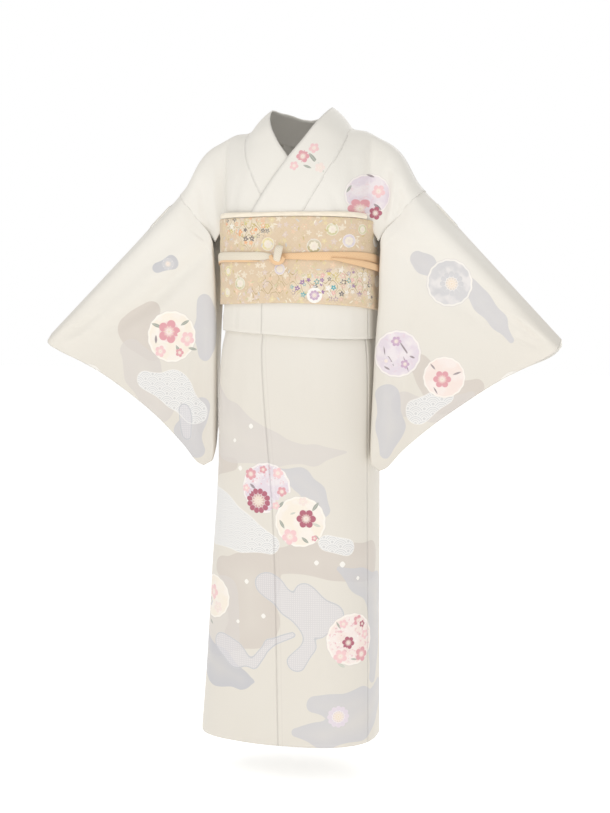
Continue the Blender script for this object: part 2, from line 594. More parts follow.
class Nodes:
    """A new material, with short ways to add and link its nodes."""

    def __init__(self, name):
        self.material = bpy.data.materials.new(name)
        self.material.use_nodes = True
        self.tree = self.material.node_tree
        self.shader = self.tree.nodes["Principled BSDF"]

    def put(self, socket, value):
        if isinstance(value, Term):
            self.tree.links.new(value.socket, socket)
        elif isinstance(value, tuple) and len(value) == 3 and len(getattr(socket, "default_value", ())) == 4:
            socket.default_value = (*value, 1)
        else:
            socket.default_value = value

    def add(self, kind, *inputs, output=0, **settings):
        node = self.tree.nodes.new(kind)
        for key, value in settings.items():
            setattr(node, key, value)
        for i, value in enumerate(inputs):
            if value is not None:
                self.put(node.inputs[i], value)
        return Term(self, node.outputs[output])

    def math(self, operation, *values):
        return self.add("ShaderNodeMath", *values, operation=operation)

    def clip(self, value):
        return self.add("ShaderNodeClamp", value, 0.0, 1.0)

    def step(self, value, low, high):
        """0 below low and 1 above high, with a smooth change between them."""
        return self.add("ShaderNodeMapRange", value, low, high, 0.0, 1.0, interpolation_type="SMOOTHSTEP")

    def below(self, value, low, high):
        """1 below low and 0 above high."""
        return 1 - self.step(value, low, high)

    def cell(self, value, size):
        """Place inside a cell that repeats, from -0.5 to 0.5. The 100 keeps the fraction's value positive."""
        return self.math("FRACT", value / size + 100) - 0.5

    def swing(self, operation, value, pitch):
        """Sine or cosine with the given pitch."""
        return self.math(operation, value * (2 * math.pi / pitch))

    def length(self, x, y):
        return self.math("SQRT", x * x + y * y)

    def mix(self, share, a, b):
        node = self.tree.nodes.new("ShaderNodeMix")
        node.data_type = "RGBA"
        self.put(node.inputs["Factor"], share)
        self.put(node.inputs[6], a)
        self.put(node.inputs[7], b)
        return Term(self, node.outputs[2])

    def split(self, vector):
        parts = self.tree.nodes.new("ShaderNodeSeparateXYZ")
        self.put(parts.inputs[0], vector)
        return [Term(self, parts.outputs[i]) for i in range(3)]

    def vector(self, name):
        return self.split(self.add("ShaderNodeAttribute", attribute_name=name, output=1))

    def number(self, name):
        return self.add("ShaderNodeAttribute", attribute_name=name, output=2)

    def colour(self, name):
        return self.add("ShaderNodeAttribute", attribute_name=name, output=0)

    def cloth_uv(self):
        layer = self.add("ShaderNodeUVMap", uv_map="cloth")
        along, down, unused = self.split(layer)
        return layer, along, down

    def noise(self, place, scale, detail=3.0, roughness=0.5):
        node = self.tree.nodes.new("ShaderNodeTexNoise")
        self.put(node.inputs["Vector"], place)
        node.inputs["Scale"].default_value = scale
        node.inputs["Detail"].default_value = detail
        node.inputs["Roughness"].default_value = roughness
        return Term(self, node.outputs["Fac"])

    def stretched(self, place, x, y):
        return self.add("ShaderNodeMapping", place, None, None, (x, y, 1.0))

    def bump(self, height, distance, strength):
        node = self.tree.nodes.new("ShaderNodeBump")
        node.inputs["Strength"].default_value = strength
        node.inputs["Distance"].default_value = distance
        self.put(node.inputs["Height"], height)
        return Term(self, node.outputs[0])

    def surface(self, colour, roughness, normal=None, **constants):
        """Puts the first three on the shader and sets its other inputs, named with _ for a space."""
        self.put(self.shader.inputs["Base Color"], colour)
        self.put(self.shader.inputs["Roughness"], roughness)
        if normal:
            self.put(self.shader.inputs["Normal"], normal)
        for name, value in constants.items():
            self.shader.inputs[name.replace("_", " ")].default_value = value


# The drawing functions change the colour under them. Their sizes are shares of a motif's radius.
def polar(n, x, y):
    return n.length(x, y), n.math("ARCTAN2", y, x)


def wedge(n, radius, angle, count):
    """Coordinates inside one of count equal wedges, along and across its middle line."""
    turn = n.math("FRACT", angle * count / (2 * math.pi) + 0.5 + 10) - 0.5
    inner = turn * (2 * math.pi) / count
    return radius * n.math("COSINE", inner), radius * n.math("SINE", inner)


def draw_flower(n, ground):
    """Rounded petals with pale slits, a pale heart, fine stamens, and a second ring where petals are many."""
    x, y, petals = n.vector("flower")
    tint = n.colour("flower_tint")
    radius, angle = polar(n, x, y)

    def petal_gap(scale, turn):
        along, across = wedge(n, radius * scale, angle + turn, petals)
        spread = n.math("TANGENT", math.pi / petals)
        half = n.math("SINE", math.pi / petals) * 1.04
        half = half / (1 + half)
        middle = 1 - half
        tip = n.length(along - middle, across) - half
        side = n.math("MAXIMUM", abs(across) - along * spread * 0.92, along - middle)
        return n.math("MINIMUM", tip, side)

    gap = petal_gap(1.0, 0.0)
    body = n.below(gap, -0.03, 0.02)
    whole = n.below(radius, 0.86, 0.9)
    pale = n.mix(n.below(radius, 0.1, 0.55), tint, (0.93, 0.84, 0.81))
    slit = n.mix(0.55, tint, (0.95, 0.90, 0.87))
    ground = n.mix(whole * 0.7, ground, slit)
    ground = n.mix(body, ground, pale)
    many = n.step(petals, 6.5, 7.5)
    inner = petal_gap(1.75, 0.3)
    line = n.below(abs(inner + 0.03), 0.02, 0.06)
    ground = n.mix(line * many * body * 0.8, ground, (0.95, 0.90, 0.88))
    along, across = wedge(n, radius, angle, petals * 2)
    hair = n.below(abs(across), 0.012, 0.04)
    reach = n.step(along, 0.12, 0.16) * n.below(along, 0.40, 0.44)
    dot = n.below(n.length(along - 0.46, across), 0.02, 0.06)
    centre = n.below(radius, 0.08, 0.13)
    marks = n.clip(hair * reach + dot + centre)
    return n.mix(marks * 0.75, ground, (0.80, 0.66, 0.48)), body


def draw_leaf(n, ground):
    x, y, width = n.vector("leaf")
    bow = (1 - x * x) * width
    gap = abs(y) - bow
    inside = n.below(gap, -0.05, 0.05) * n.below(abs(x), 0.97, 1.03)
    vein = n.below(abs(y), 0.015, 0.05) * n.step(width, 0.15, 0.2)
    tint = n.mix(vein * 0.4, n.colour("leaf_tint"), (0.92, 0.90, 0.84))
    return n.mix(inside * 0.92, ground, tint), inside


def draw_roundel(n, ground, place):
    """A medallion with a scalloped pale rim, a clouded ground and, where busy is 1, small pink sprays."""
    x, y, busy = n.vector("roundel")
    radius, angle = polar(n, x, y)
    edge = radius + n.math("SINE", angle * 16) * 0.012
    inside = n.below(edge, 0.975, 1.0)
    cloud = n.step(n.noise(place, 34.0, 2.0), 0.42, 0.62)
    tint = n.mix(cloud * 0.5, n.colour("roundel_tint"), (0.90, 0.85, 0.82))
    cluster = n.step(n.noise(place, 26.0, 1.0), 0.40, 0.5)
    spray = n.step(n.noise(place, 120.0, 4.0, 0.75), 0.555, 0.60) * cluster
    tint = n.mix(spray * busy * 0.75, tint, (0.74, 0.36, 0.42))
    white = n.step(n.noise(place, 150.0, 3.0, 0.7), 0.60, 0.64)
    tint = n.mix(white * busy * 0.7, tint, (0.95, 0.93, 0.92))
    rim = n.step(edge, 0.9, 0.925) * n.below(edge, 0.975, 1.0)
    hair = n.step(edge, 0.97, 0.985) * n.below(edge, 1.0, 1.015)
    ground = n.mix(inside, ground, tint)
    ground = n.mix(rim * 0.7, ground, (0.93, 0.89, 0.82))
    return n.mix(hair * 0.35, ground, (0.60, 0.55, 0.55)), inside


# The rows of the wave pattern, as a share of a wave's radius
WAVE_PITCH = 0.6


def overlapping_waves(n, along, down, size):
    """Distance from the middle of the scale that is in front, as a share of its radius."""
    pitch = size * WAVE_PITCH
    row = n.math("FLOOR", down / pitch)
    result = None
    for step in (-1, 0, 1, 2):
        line = row + step
        offset = n.math("FLOORED_MODULO", line, 2.0) * size
        gap_u = n.math("FLOORED_MODULO", along - offset + size, 2 * size) - size
        gap_v = down - line * pitch
        gap = n.length(gap_u, gap_v) / size
        if result is None:
            result = gap
        else:
            front = n.math("LESS_THAN", gap, 1.0)
            result = result + (gap - result) * front
    return result


def ring_lines(n, gap, places, half):
    total = None
    for place in places:
        line = n.below(abs(gap - place), half * 0.5, half)
        total = line if total is None else total + line
    return n.clip(total)


def dots(n, along, down, spacing, radius):
    return n.below(n.length(n.cell(along, spacing), n.cell(down, spacing)), radius, radius * 1.5)


def silk_material():
    """Pale ground that darkens downwards, washes of colour, waves, specks, painted motifs and seams."""
    n = Nodes("silk")
    place, along, down = n.cloth_uv()
    mist, grey, taupe = n.vector("zones_a")
    wave, dotted, dark = n.vector("zones_b")
    slow = n.noise(place, 3.2, 3.0)
    on_sleeve = n.step(abs(n.math("FLOORED_MODULO", along + 1.0, 2.0) - 1.0), 0.86, 0.94)
    upper = n.mix(slow, (0.80, 0.77, 0.705), (0.825, 0.80, 0.745))
    lower = n.mix(slow, (0.715, 0.665, 0.59), (0.765, 0.73, 0.66))
    colour = n.mix(n.step(down, 0.2, 0.6) * (1 - on_sleeve * 0.5), upper, lower)

    def wash(colour, gap, tint, strength, reach):
        """Colour that is strongest at a crisp edge and fades inwards."""
        edge = on_sleeve * 8.0 + 0.8
        inside = n.below(gap, 0.0 - edge, edge)
        depth = n.below(gap, -reach, 0.0)
        return n.mix(inside * (1 - depth * 0.5) * (1 - on_sleeve * 0.25) * strength, colour, tint)

    colour = wash(colour, taupe, (0.625, 0.56, 0.505), 0.8, 90.0)
    colour = wash(colour, mist, (0.66, 0.615, 0.58), 0.78, 80.0)
    colour = wash(colour, grey, (0.585, 0.575, 0.595), 0.85, 60.0)
    colour = wash(colour, dark, (0.52, 0.52, 0.555), 0.88, 60.0)

    in_wave = n.below(wave, -0.8, 0.8)
    gap = overlapping_waves(n, along, down, 0.016)
    rings = ring_lines(n, gap, (0.93, 0.70, 0.47, 0.24), 0.095)
    wave_ground = n.mix(n.step(gap, 0.2, 1.0) * 0.6, (0.66, 0.655, 0.65), (0.55, 0.56, 0.58))
    colour = n.mix(in_wave * 0.9, colour, n.mix(rings * 0.9, wave_ground, (0.87, 0.86, 0.84)))

    in_dotted = n.below(dotted, -0.8, 0.8)
    speck = dots(n, along, down, 0.0042, 0.22)
    colour = n.mix(in_dotted * 0.75, colour, n.mix(speck * 0.6, (0.655, 0.635, 0.655), (0.84, 0.82, 0.82)))
    line = n.below(abs(dotted + 1.4), 0.5, 1.4)
    colour = n.mix(line * 0.7, colour, (0.50, 0.51, 0.53))
    pale = n.below(abs(wave), 0.5, 1.4)
    colour = n.mix(pale * 0.5, colour, (0.90, 0.88, 0.85))

    colour, in_roundel = draw_roundel(n, colour, place)
    colour, in_leaf = draw_leaf(n, colour)
    colour, in_flower = draw_flower(n, colour)

    edge = n.below(n.number("seam"), 0.2, 1.2)
    second = n.below(abs(n.number("pressed")), 0.4, 1.6)
    crease = n.math("MAXIMUM", edge, second * 0.8)
    colour = n.mix(crease * 0.12, colour, (0.45, 0.42, 0.38))
    colour = n.mix(n.number("lining") * 0.9, colour, (0.88, 0.855, 0.80))

    grain = n.noise(n.stretched(place, 900.0, 260.0), 1.0, 2.0)
    slub = n.noise(n.stretched(place, 60.0, 900.0), 1.0, 2.0)
    colour = n.mix((grain - 0.5) * 0.16 + 0.08, colour, (0.74, 0.69, 0.61))
    height = grain * 0.6 + slub * 0.4 + in_flower * 0.8 + in_leaf * 0.6 + in_roundel * 0.2 - crease * 0.35
    n.surface(
        colour, 0.50 + grain * 0.16 - in_flower * 0.05, n.bump(height, 0.0005, 0.55),
        Sheen_Weight=0.25, Sheen_Roughness=0.4, Sheen_Tint=(1, 0.98, 0.95, 1), Specular_IOR_Level=0.4,
    )
    return n.material


def scatter(n, place, scale, petals, size):
    """Small flowers strewn over the cloth: how far inside one a point is, and three random numbers for it."""
    cells = n.tree.nodes.new("ShaderNodeTexVoronoi")
    cells.voronoi_dimensions = "2D"
    cells.inputs["Scale"].default_value = scale
    cells.inputs["Randomness"].default_value = 0.7
    n.put(cells.inputs["Vector"], place)
    away = n.add("ShaderNodeVectorMath", place, Term(n, cells.outputs["Position"]), operation="SUBTRACT")
    x, y, unused = n.split(away)
    radius, angle = polar(n, x, y)
    picks = n.split(Term(n, cells.outputs["Color"]))
    reach = size * (0.75 + n.math("SINE", angle * petals + picks[0] * 6.3) * 0.25) * (0.7 + picks[1] * 0.6)
    return 1 - radius / reach, picks


def pick_colour(n, pick, colours):
    """One of the colours, by a random number from 0 to 1."""
    result = colours[0]
    for i, colour in enumerate(colours[1:], 1):
        result = n.mix(n.step(pick, i / len(colours), i / len(colours) + 0.001), result, colour)
    return result


def strewn(n, colour, place, share, scale, petals, size, colours):
    """The colour with small flowers over it where share is 1, some of them only outlined."""
    inside, picks = scatter(n, place, scale, petals, size)
    tint = pick_colour(n, picks[2], colours)
    full = n.step(inside, 0.0, 0.12)
    hollow = full * (1 - n.step(inside, 0.34, 0.46) * n.step(picks[0], 0.5, 0.51))
    heart = n.step(inside, 0.72, 0.8) * n.step(picks[1], 0.4, 0.41)
    colour = n.mix(hollow * share, colour, tint)
    return n.mix(heart * share, colour, (0.90, 0.80, 0.62)), hollow * share


BELT_SOFT = (
    (0.80, 0.68, 0.36), (0.66, 0.52, 0.30), (0.88, 0.80, 0.68), (0.74, 0.62, 0.62), (0.86, 0.60, 0.42),
)
BELT_WARM = (
    (0.84, 0.36, 0.14), (0.86, 0.45, 0.22), (0.20, 0.17, 0.16), (0.66, 0.55, 0.20), (0.88, 0.84, 0.76),
)
BELT_COOL = (
    (0.05, 0.38, 0.44), (0.32, 0.16, 0.36), (0.10, 0.09, 0.12),
    (0.90, 0.86, 0.82), (0.80, 0.45, 0.42), (0.72, 0.58, 0.20),
)
NET_SIZE = 0.011
OGEE_WIDTH = 0.026
OGEE_HEIGHT = 0.036
THREAD_PITCH = 0.0011
BRAID_PITCH = 0.0032


def brocade_material():
    """Gold ground with a fine net, vines in the three patches, strewn flowers and woven medallions."""
    n = Nodes("brocade")
    place, along, down = n.cloth_uv()
    slow = n.noise(place, 7.0, 3.0)
    colour = n.mix(slow, (0.69, 0.53, 0.36), (0.74, 0.59, 0.42))
    warm = n.below(n.number("zone_warm"), -14.0, 6.0)
    cool = n.below(n.number("zone_cool"), -14.0, 6.0)
    gold = n.below(n.number("zone_gold"), -10.0, 6.0)
    colour = n.mix(n.math("MAXIMUM", warm, cool) * 0.75, colour, (0.80, 0.71, 0.57))
    crossing = n.math("MINIMUM", abs(n.cell(along + down, NET_SIZE)), abs(n.cell(along - down, NET_SIZE)))
    net = n.below(crossing, 0.03, 0.07)
    colour = n.mix(net * 0.22, colour, (0.66, 0.47, 0.26))
    bend = n.noise(place, 30.0, 2.0) * 0.018
    ogee = n.swing("COSINE", along + bend, OGEE_WIDTH) + n.swing("COSINE", down + bend, OGEE_HEIGHT)
    outline = n.below(abs(ogee - 0.5), 0.09, 0.2)
    twig = n.below(abs(ogee + 0.5), 0.08, 0.18)
    lines = n.clip(outline + twig * 0.8)
    colour = n.mix(lines * n.clip(warm + cool + gold) * 0.85, colour, (0.42, 0.29, 0.10))
    everywhere = 1 - n.clip(warm + cool)
    colour, raised_a = strewn(n, colour, place, everywhere * 0.6, 66.0, 5.0, 0.0066, BELT_SOFT)
    colour, raised_b = strewn(n, colour, place, warm, 84.0, 5.0, 0.0054, BELT_WARM)
    colour, raised_c = strewn(n, colour, place, cool, 84.0, 5.0, 0.0052, BELT_COOL)
    colour, in_roundel = draw_roundel(n, colour, place)
    colour, in_leaf = draw_leaf(n, colour)
    colour, in_flower = draw_flower(n, colour)
    colour = n.mix(n.number("lining") * 0.8, colour, (0.78, 0.66, 0.50))
    threads = n.swing("SINE", down, THREAD_PITCH) * 0.5 + 0.5
    floats = n.noise(n.stretched(place, 240.0, 1500.0), 1.0, 2.0)
    colour = n.mix(floats * 0.12, colour, (0.92, 0.82, 0.66))
    strewn_height = raised_a + raised_b + raised_c + in_flower + in_leaf * 0.7
    height = threads * 0.35 + floats * 0.5 + net * 0.5 + strewn_height * 0.8
    n.surface(
        colour, 0.46 + floats * 0.2, n.bump(height, 0.0006, 0.6),
        Sheen_Weight=0.2, Sheen_Roughness=0.35, Specular_IOR_Level=0.5,
    )
    return n.material


def sash_material():
    n = Nodes("sash_crepe")
    place = n.cloth_uv()[0]
    tone = n.noise(place, 9.0, 3.0)
    colour = n.mix(tone, (0.90, 0.79, 0.63), (0.93, 0.86, 0.72))
    crepe = n.noise(n.stretched(place, 260.0, 900.0), 1.0, 3.0, 0.6)
    colour = n.mix(crepe * 0.25, colour, (0.93, 0.85, 0.72))
    n.surface(colour, 0.62, n.bump(crepe, 0.0007, 0.7), Sheen_Weight=0.3)
    return n.material


def cord_material(name, light, dark):
    n = Nodes(name)
    place, along, down = n.cloth_uv()
    left = n.swing("SINE", along + down, BRAID_PITCH)
    right = n.swing("SINE", along - down, BRAID_PITCH)
    braid = n.math("MAXIMUM", left, right) * 0.5 + 0.5
    strand = n.noise(n.stretched(place, 700.0, 2600.0), 1.0, 2.0)
    colour = n.mix(braid, dark, light)
    colour = n.mix(strand * 0.25, colour, (0.97, 0.90, 0.80))
    relief = n.bump(braid + strand * 0.3, 0.0006, 0.7)
    n.surface(colour, 0.45 + strand * 0.2, relief, Sheen_Weight=0.2)
    return n.material


SILK = silk_material()
BROCADE = brocade_material()
SASH = sash_material()
PEACH_CORD = cord_material("cord_peach", (0.86, 0.56, 0.28), (0.72, 0.38, 0.16))
PALE_CORD = cord_material("cord_pale", (0.80, 0.72, 0.58), (0.64, 0.56, 0.43))

# Folds of the skirt and the tuck, round and down
SKIRT_FOLDS = [
    ([(-150, 560), (-140, 800), (-150, 1100)], 26, 2.2),
    ([(150, 520), (160, 760), (150, 1000)], 24, -2.0),
    ([(90, 860), (84, 1060), (92, 1250)], 22, 1.8),
    ([(-96, 470), (-104, 560), (-100, 660)], 14, -1.6),
    ([(40, 452), (44, 520), (40, 600)], 12, -1.1),
    ([(330, 520), (336, 800), (330, 1200)], 26, 2.4),
    ([(560, 500), (552, 780), (560, 1150)], 24, -2.0),
    ([(430, 480), (436, 640), (430, 900)], 20, -1.8),
]
TUCK_FOLDS = [
    ([(-110, 392), (-112, 424), (-108, 452)], 4, -2.2),
    ([(-150, 388), (-160, 424), (-150, 452)], 6, 1.6),
    ([(60, 390), (64, 452)], 7, -1.3),
    ([(130, 388), (134, 424), (128, 452)], 8, 1.4),
    ([(340, 390), (344, 452)], 7, -1.8),
    ([(470, 390), (466, 452)], 9, 1.6),
    ([(560, 390), (566, 452)], 6, -1.6),
]
# Width of the seam's pressed edge, which shows as a second line beside it
SEAM_PLY = 9
overlap_seam = curve([235, 449, 800, 1245], [-24, -23, -10, -5])
flare_at = curve([700, 780, 910, 1010, 1120, 1245], [0, 5, 15, 21, 28, 38])
FLARE_START = -34
FLARE_POWER = 1.4
SKIRT_FINE_END = 520
TUCK_SHOWS = 380
# The tuck's lower fold is rounded over this height and falls back by this much
FOLD_ROUND = 5
FOLD_DROP = 1.2
# Where the overlap's extra lift fades out at the back, in degrees
BACK_LIFT_START = 100
BACK_LIFT_FADE = 70

# The tuck's lower fold slants: how much lower it hangs, by angle
tuck_slant_at = curve([-97, -66, -22, 72, 180, 263], [-12, -12, -7, 3, -4, -12])
SLANT_START = 330


def fixed(value):
    return lambda down: np.full(np.shape(down), float(value))


def back_lift(step):
    return lambda angle: step * (1 - ease((angle - BACK_LIFT_START) / BACK_LIFT_FADE))


def wrap_flare(angle, down):
    return flare_at(down) * ease((FLARE_START - angle) / (FLARE_START - WRAP_EDGE)) ** FLARE_POWER


def no_slant(angle, down):
    return 0 * angle


def tuck_slant(angle, down):
    return tuck_slant_at(angle) * ease((down - SLANT_START) / (TUCK_FOLD - SLANT_START))


def body_panel(
    node, thickness, start, end, heights, lift, crease_table, cell=5, slant=no_slant, pressed=None,
):
    """A panel between two lines, each an angle by height, with its second seam line where pressed says."""
    down = np.asarray(heights, float)[:, None]
    widest = np.max(arc_at(end(down)) - arc_at(start(down)))
    share = np.linspace(0, 1, max(int(widest / cell), 4))[None, :]
    angle = between(start(down), end(down), share)
    grid = body_point(angle, down + slant(angle, down), lift(angle, down))
    u = arc_at(angle)
    v = np.broadcast_to(down, u.shape)
    crease = folds(u, v, crease_table)
    line = None if pressed is None else u - arc_at(start(down)) - pressed
    return cloth(node, grid, thickness, u, v, SILK, crease, cell=cell, pressed=line)


def make_skirt():
    heights = spaced((SKIRT_START, SKIRT_FINE_END, 22), (SKIRT_FINE_END, HEM, 148))

    def over(angle, down):
        return WRAP_STEP + wrap_flare(angle, down)

    def under(angle, down):
        return 0 * angle

    def lowering(angle, down):
        return back_lift(WRAP_STEP)(angle) + 0 * down

    rows = [
        ("skirt_front_right", fixed(SIDE_SEAM_RIGHT), fixed(UNDER_SEAM), under, [], None),
        ("skirt_overlap_right", fixed(UNDER_SEAM), fixed(UNDER_EDGE), under, [], None),
        ("skirt_overlap_left", fixed(WRAP_EDGE), overlap_seam, over, SKIRT_FOLDS, None),
        ("skirt_front_left", overlap_seam, fixed(SIDE_SEAM_LEFT), over, SKIRT_FOLDS, SEAM_PLY),
        ("skirt_back_left", fixed(SIDE_SEAM_LEFT), fixed(180), lowering, SKIRT_FOLDS, None),
        ("skirt_back_right", fixed(180), fixed(360 + SIDE_SEAM_RIGHT), lowering, SKIRT_FOLDS, None),
    ]
    return {
        node: body_panel(node, CLOTH, start, end, heights, lift, table, pressed=pressed)
        for node, start, end, lift, table, pressed in rows
    }


def make_tuck():
    heights = spaced((BODICE_END + SEWN_GAP, TUCK_SHOWS, 30), (TUCK_SHOWS, TUCK_FOLD, 18))

    def stand(down):
        return TUCK_STAND * ease((down - BODICE_END) / (BELT_BOTTOM - BODICE_END))

    def round_off(down):
        return -FOLD_DROP * np.clip((down - TUCK_FOLD + FOLD_ROUND) / FOLD_ROUND, 0, 1) ** 2

    def under(angle, down):
        return stand(down + tuck_slant(angle, down)) + round_off(down) + 0 * angle

    def over(angle, down):
        return under(angle, down) + TUCK_STEP

    def back(angle, down):
        return under(angle, down) + back_lift(TUCK_STEP)(angle)

    rows = [
        ("tuck_front_right", fixed(SIDE_SEAM_RIGHT), fixed(UNDER_TUCK_EDGE), under),
        ("tuck_overlap_left", fixed(TUCK_EDGE), overlap_seam, over),
        ("tuck_front_left", overlap_seam, fixed(SIDE_SEAM_LEFT), over),
        ("tuck_back_left", fixed(SIDE_SEAM_LEFT), fixed(180), back),
        ("tuck_back_right", fixed(180), fixed(360 + SIDE_SEAM_RIGHT), back),
    ]
    return {
        node: body_panel(node, DOUBLE_CLOTH, start, end, heights, lift, TUCK_FOLDS, 4, tuck_slant)
        for node, start, end, lift in rows
    }


BODICE_FRONT_FOLDS = [
    ([(186, 118), (182, 160), (172, 226)], 7, -5.0),
    ([(198, 130), (196, 170), (186, 236)], 6, 3.4),
    ([(120, 96), (128, 150), (126, 214)], 12, -3.0),
    ([(212, 150), (204, 200), (182, 246)], 5, -2.6),
    ([(86, 160), (98, 200), (100, 232)], 8, -2.0),
]
BODICE_FRONT_FOLDS_RIGHT = [
    ([(150, 110), (148, 170), (140, 226)], 9, -3.6),
    ([(170, 116), (168, 180), (160, 240)], 7, 2.8),
    ([(198, 150), (190, 200), (172, 250)], 7, -3.6),
    ([(104, 130), (112, 180), (108, 230)], 9, -2.2),
]
BODICE_BACK_FOLDS = [
    ([(150, 100), (146, 170), (132, 228)], 10, -4.0),
    ([(176, 116), (172, 180), (160, 240)], 7, 3.0),
    ([(60, 120), (64, 180), (60, 232)], 14, -2.4),
    ([(200, 150), (190, 210), (172, 252)], 6, -2.8),
]


BODICE_ROWS = 60
BODICE_COLUMNS = 52
NECK_COLUMNS = 24
ARM_COLUMNS = 36
BACK_DROP_POWER = 1.4
# The left side lies over the right, but level with it from here out to the arm
LEVEL_START = 105
LEVEL_FADE = 50
BACK_LEVEL_FADE = 90
SHOULDER_FADE = 30


def collar_edge(rows):
    """The collar's outer edge along some of its rows: across and down, by a share from 0 to 1."""
    steps = np.arange(len(rows)) / (len(rows) - 1)
    return curve(steps, [row[3] for row in rows]), curve(steps, [row[4] for row in rows])


def silk_piece(node, grid, thickness, offset, crease=0):
    """A sheet of silk with the pattern measured across and down."""
    return cloth(node, grid, thickness, grid[..., 0] + offset, -grid[..., 2], SILK, crease, cell=4)


def bodice_front():
    seam_across, seam_down = collar_edge(COLLAR[: COLLAR_SHOULDER_ROW + 1][::-1])
    v = np.linspace(0, 1, BODICE_ROWS)[:, None]
    u = np.linspace(0, 1, BODICE_COLUMNS)[None, :]
    drop = (seam_down(v) - seam_down(0)) / (seam_down(1) - seam_down(0))
    start = seam_across(v) - SEWN_OVERLAP
    across = between(start, between(SLEEVE_SEAM_TOP, SLEEVE_SEAM_LOW, drop), u)
    top = -shoulder_at(between(seam_across(0) - SEWN_OVERLAP, SLEEVE_SEAM_TOP, u))
    low = bodice_low_at(between(seam_across(1) - SEWN_OVERLAP, SLEEVE_SEAM_LOW, u))
    down = np.maximum(between(top, low, drop), -shoulder_at(across))
    return bodice_point(across, down, -1)


def bodice_back():
    neck_across, neck_down = collar_edge(COLLAR[COLLAR_SHOULDER_ROW:][::-1])
    neck_share = np.linspace(0, 1, NECK_COLUMNS)
    arm_across = between(float(neck_across(1)), SLEEVE_SEAM_TOP, np.linspace(0, 1, ARM_COLUMNS)[1:])
    top_across = np.concatenate([neck_across(neck_share), arm_across])[None, :]
    top_down = np.concatenate([neck_down(neck_share), -shoulder_at(arm_across)])[None, :]
    order = np.linspace(0, 1, top_across.shape[1])[None, :]
    drop = np.linspace(0, 1, BODICE_ROWS)[:, None] ** BACK_DROP_POWER
    low_across = between(0.0, SLEEVE_SEAM_LOW, order)
    across = np.maximum(between(top_across, low_across, drop), 0)
    under_collar = np.where(order * (top_across.shape[1] - 1) < NECK_COLUMNS, SEWN_OVERLAP, 0)
    down = between(top_down - under_collar, bodice_low_at(low_across), drop)
    return bodice_point(across, np.maximum(down, -shoulder_at(across)), 1)[:, ::-1]


def arm_level(grid):
    return 1 - ease((grid[..., 0] - LEVEL_START) / LEVEL_FADE)


def make_bodice():
    front = bodice_front()
    back = bodice_back()
    back_lift_left = TUCK_STEP * ease(back[..., 0] / BACK_LEVEL_FADE) * arm_level(back)
    made = {}
    for node, grid, table, offset in (
        ("bodice_front_left", raised(front, TUCK_STEP * arm_level(front)), BODICE_FRONT_FOLDS, 0),
        ("bodice_front_right", mirrored(front), BODICE_FRONT_FOLDS_RIGHT, 0),
        ("bodice_back_left", raised(back, back_lift_left), BODICE_BACK_FOLDS, BACK_OFFSET),
        ("bodice_back_right", mirrored(back), BODICE_BACK_FOLDS, BACK_OFFSET),
    ):
        across = np.abs(grid[..., 0])
        down = -grid[..., 2]
        crease = folds(across, down, table) * ease((down + shoulder_at(across)) / SHOULDER_FADE)
        made[node] = silk_piece(node, grid, CLOTH, offset, crease)
    return made


def centripetal(points, places):
    """The same curve as the solids use: Catmull-Rom with centripetal spacing, at places from 0 to 1."""
    count = len(points)
    ends = [2 * points[0] - points[1], *points, 2 * points[-1] - points[-2]]
    result = []
    for place in places:
        position = place * (count - 1)
        i = min(int(position), count - 2)
        weight = position - i
        p0, p1, p2, p3 = ends[i], ends[i + 1], ends[i + 2], ends[i + 3]
        pairs = ((p0, p1), (p1, p2), (p2, p3))
        gaps = [np.sum((b - a) ** 2, axis=-1, keepdims=True) ** 0.25 for a, b in pairs]
        d0, d1, d2 = (np.maximum(gap, 1e-4) for gap in gaps)
        leave = ((p1 - p0) / d0 - (p2 - p0) / (d0 + d1) + (p2 - p1) / d1) * d1
        arrive = ((p2 - p1) / d1 - (p3 - p1) / (d1 + d2) + (p3 - p2) / d2) * d1
        a = 2 * p1 - 2 * p2 + leave + arrive
        b = -3 * p1 + 3 * p2 - 2 * leave - arrive
        result.append(((a * weight + b) * weight + leave) * weight + p1)
    return np.stack(result, axis=-2)


COLLAR_STEPS = 110
COLLAR_LINES = 12
COLLAR_STAND = 0.4
COLLAR_CROWN = 0.5
COLLAR_LEVEL_FADE = 60


def make_collar():
    steps = np.linspace(0, 1, COLLAR_STEPS)
    shares = np.linspace(0, 1, COLLAR_LINES)
    lines = []
    for share in shares:
        points = []
        for side, inner_across, inner_down, outer_across, outer_down in COLLAR:
            across = between(inner_across, outer_across, share)
            if side == 0:
                points.append(np.array([across, 0, float(shoulder_at(across))]))
            else:
                points.append(bodice_point(across, between(inner_down, outer_down, share), side).reshape(3))
        lines.append(centripetal(points, steps))
    grid = np.stack(lines, axis=1)[::-1]
    crown = COLLAR_CROWN * np.sin(np.pi * shares)[None, :]
    over = np.where(grid[..., 1] > 0, ease(grid[..., 0] / COLLAR_LEVEL_FADE), 1)
    left = raised(grid, COLLAR_STAND + (TUCK_STEP - COLLAR_STAND / 2) * over + crown)
    right = mirrored(raised(grid, COLLAR_STAND + crown))
    return {
        node: silk_piece(node, face, COLLAR_CLOTH, np.where(face[..., 1] > 0, BACK_OFFSET, 0))
        for node, face in (("collar_left", left), ("collar_right", right))
    }


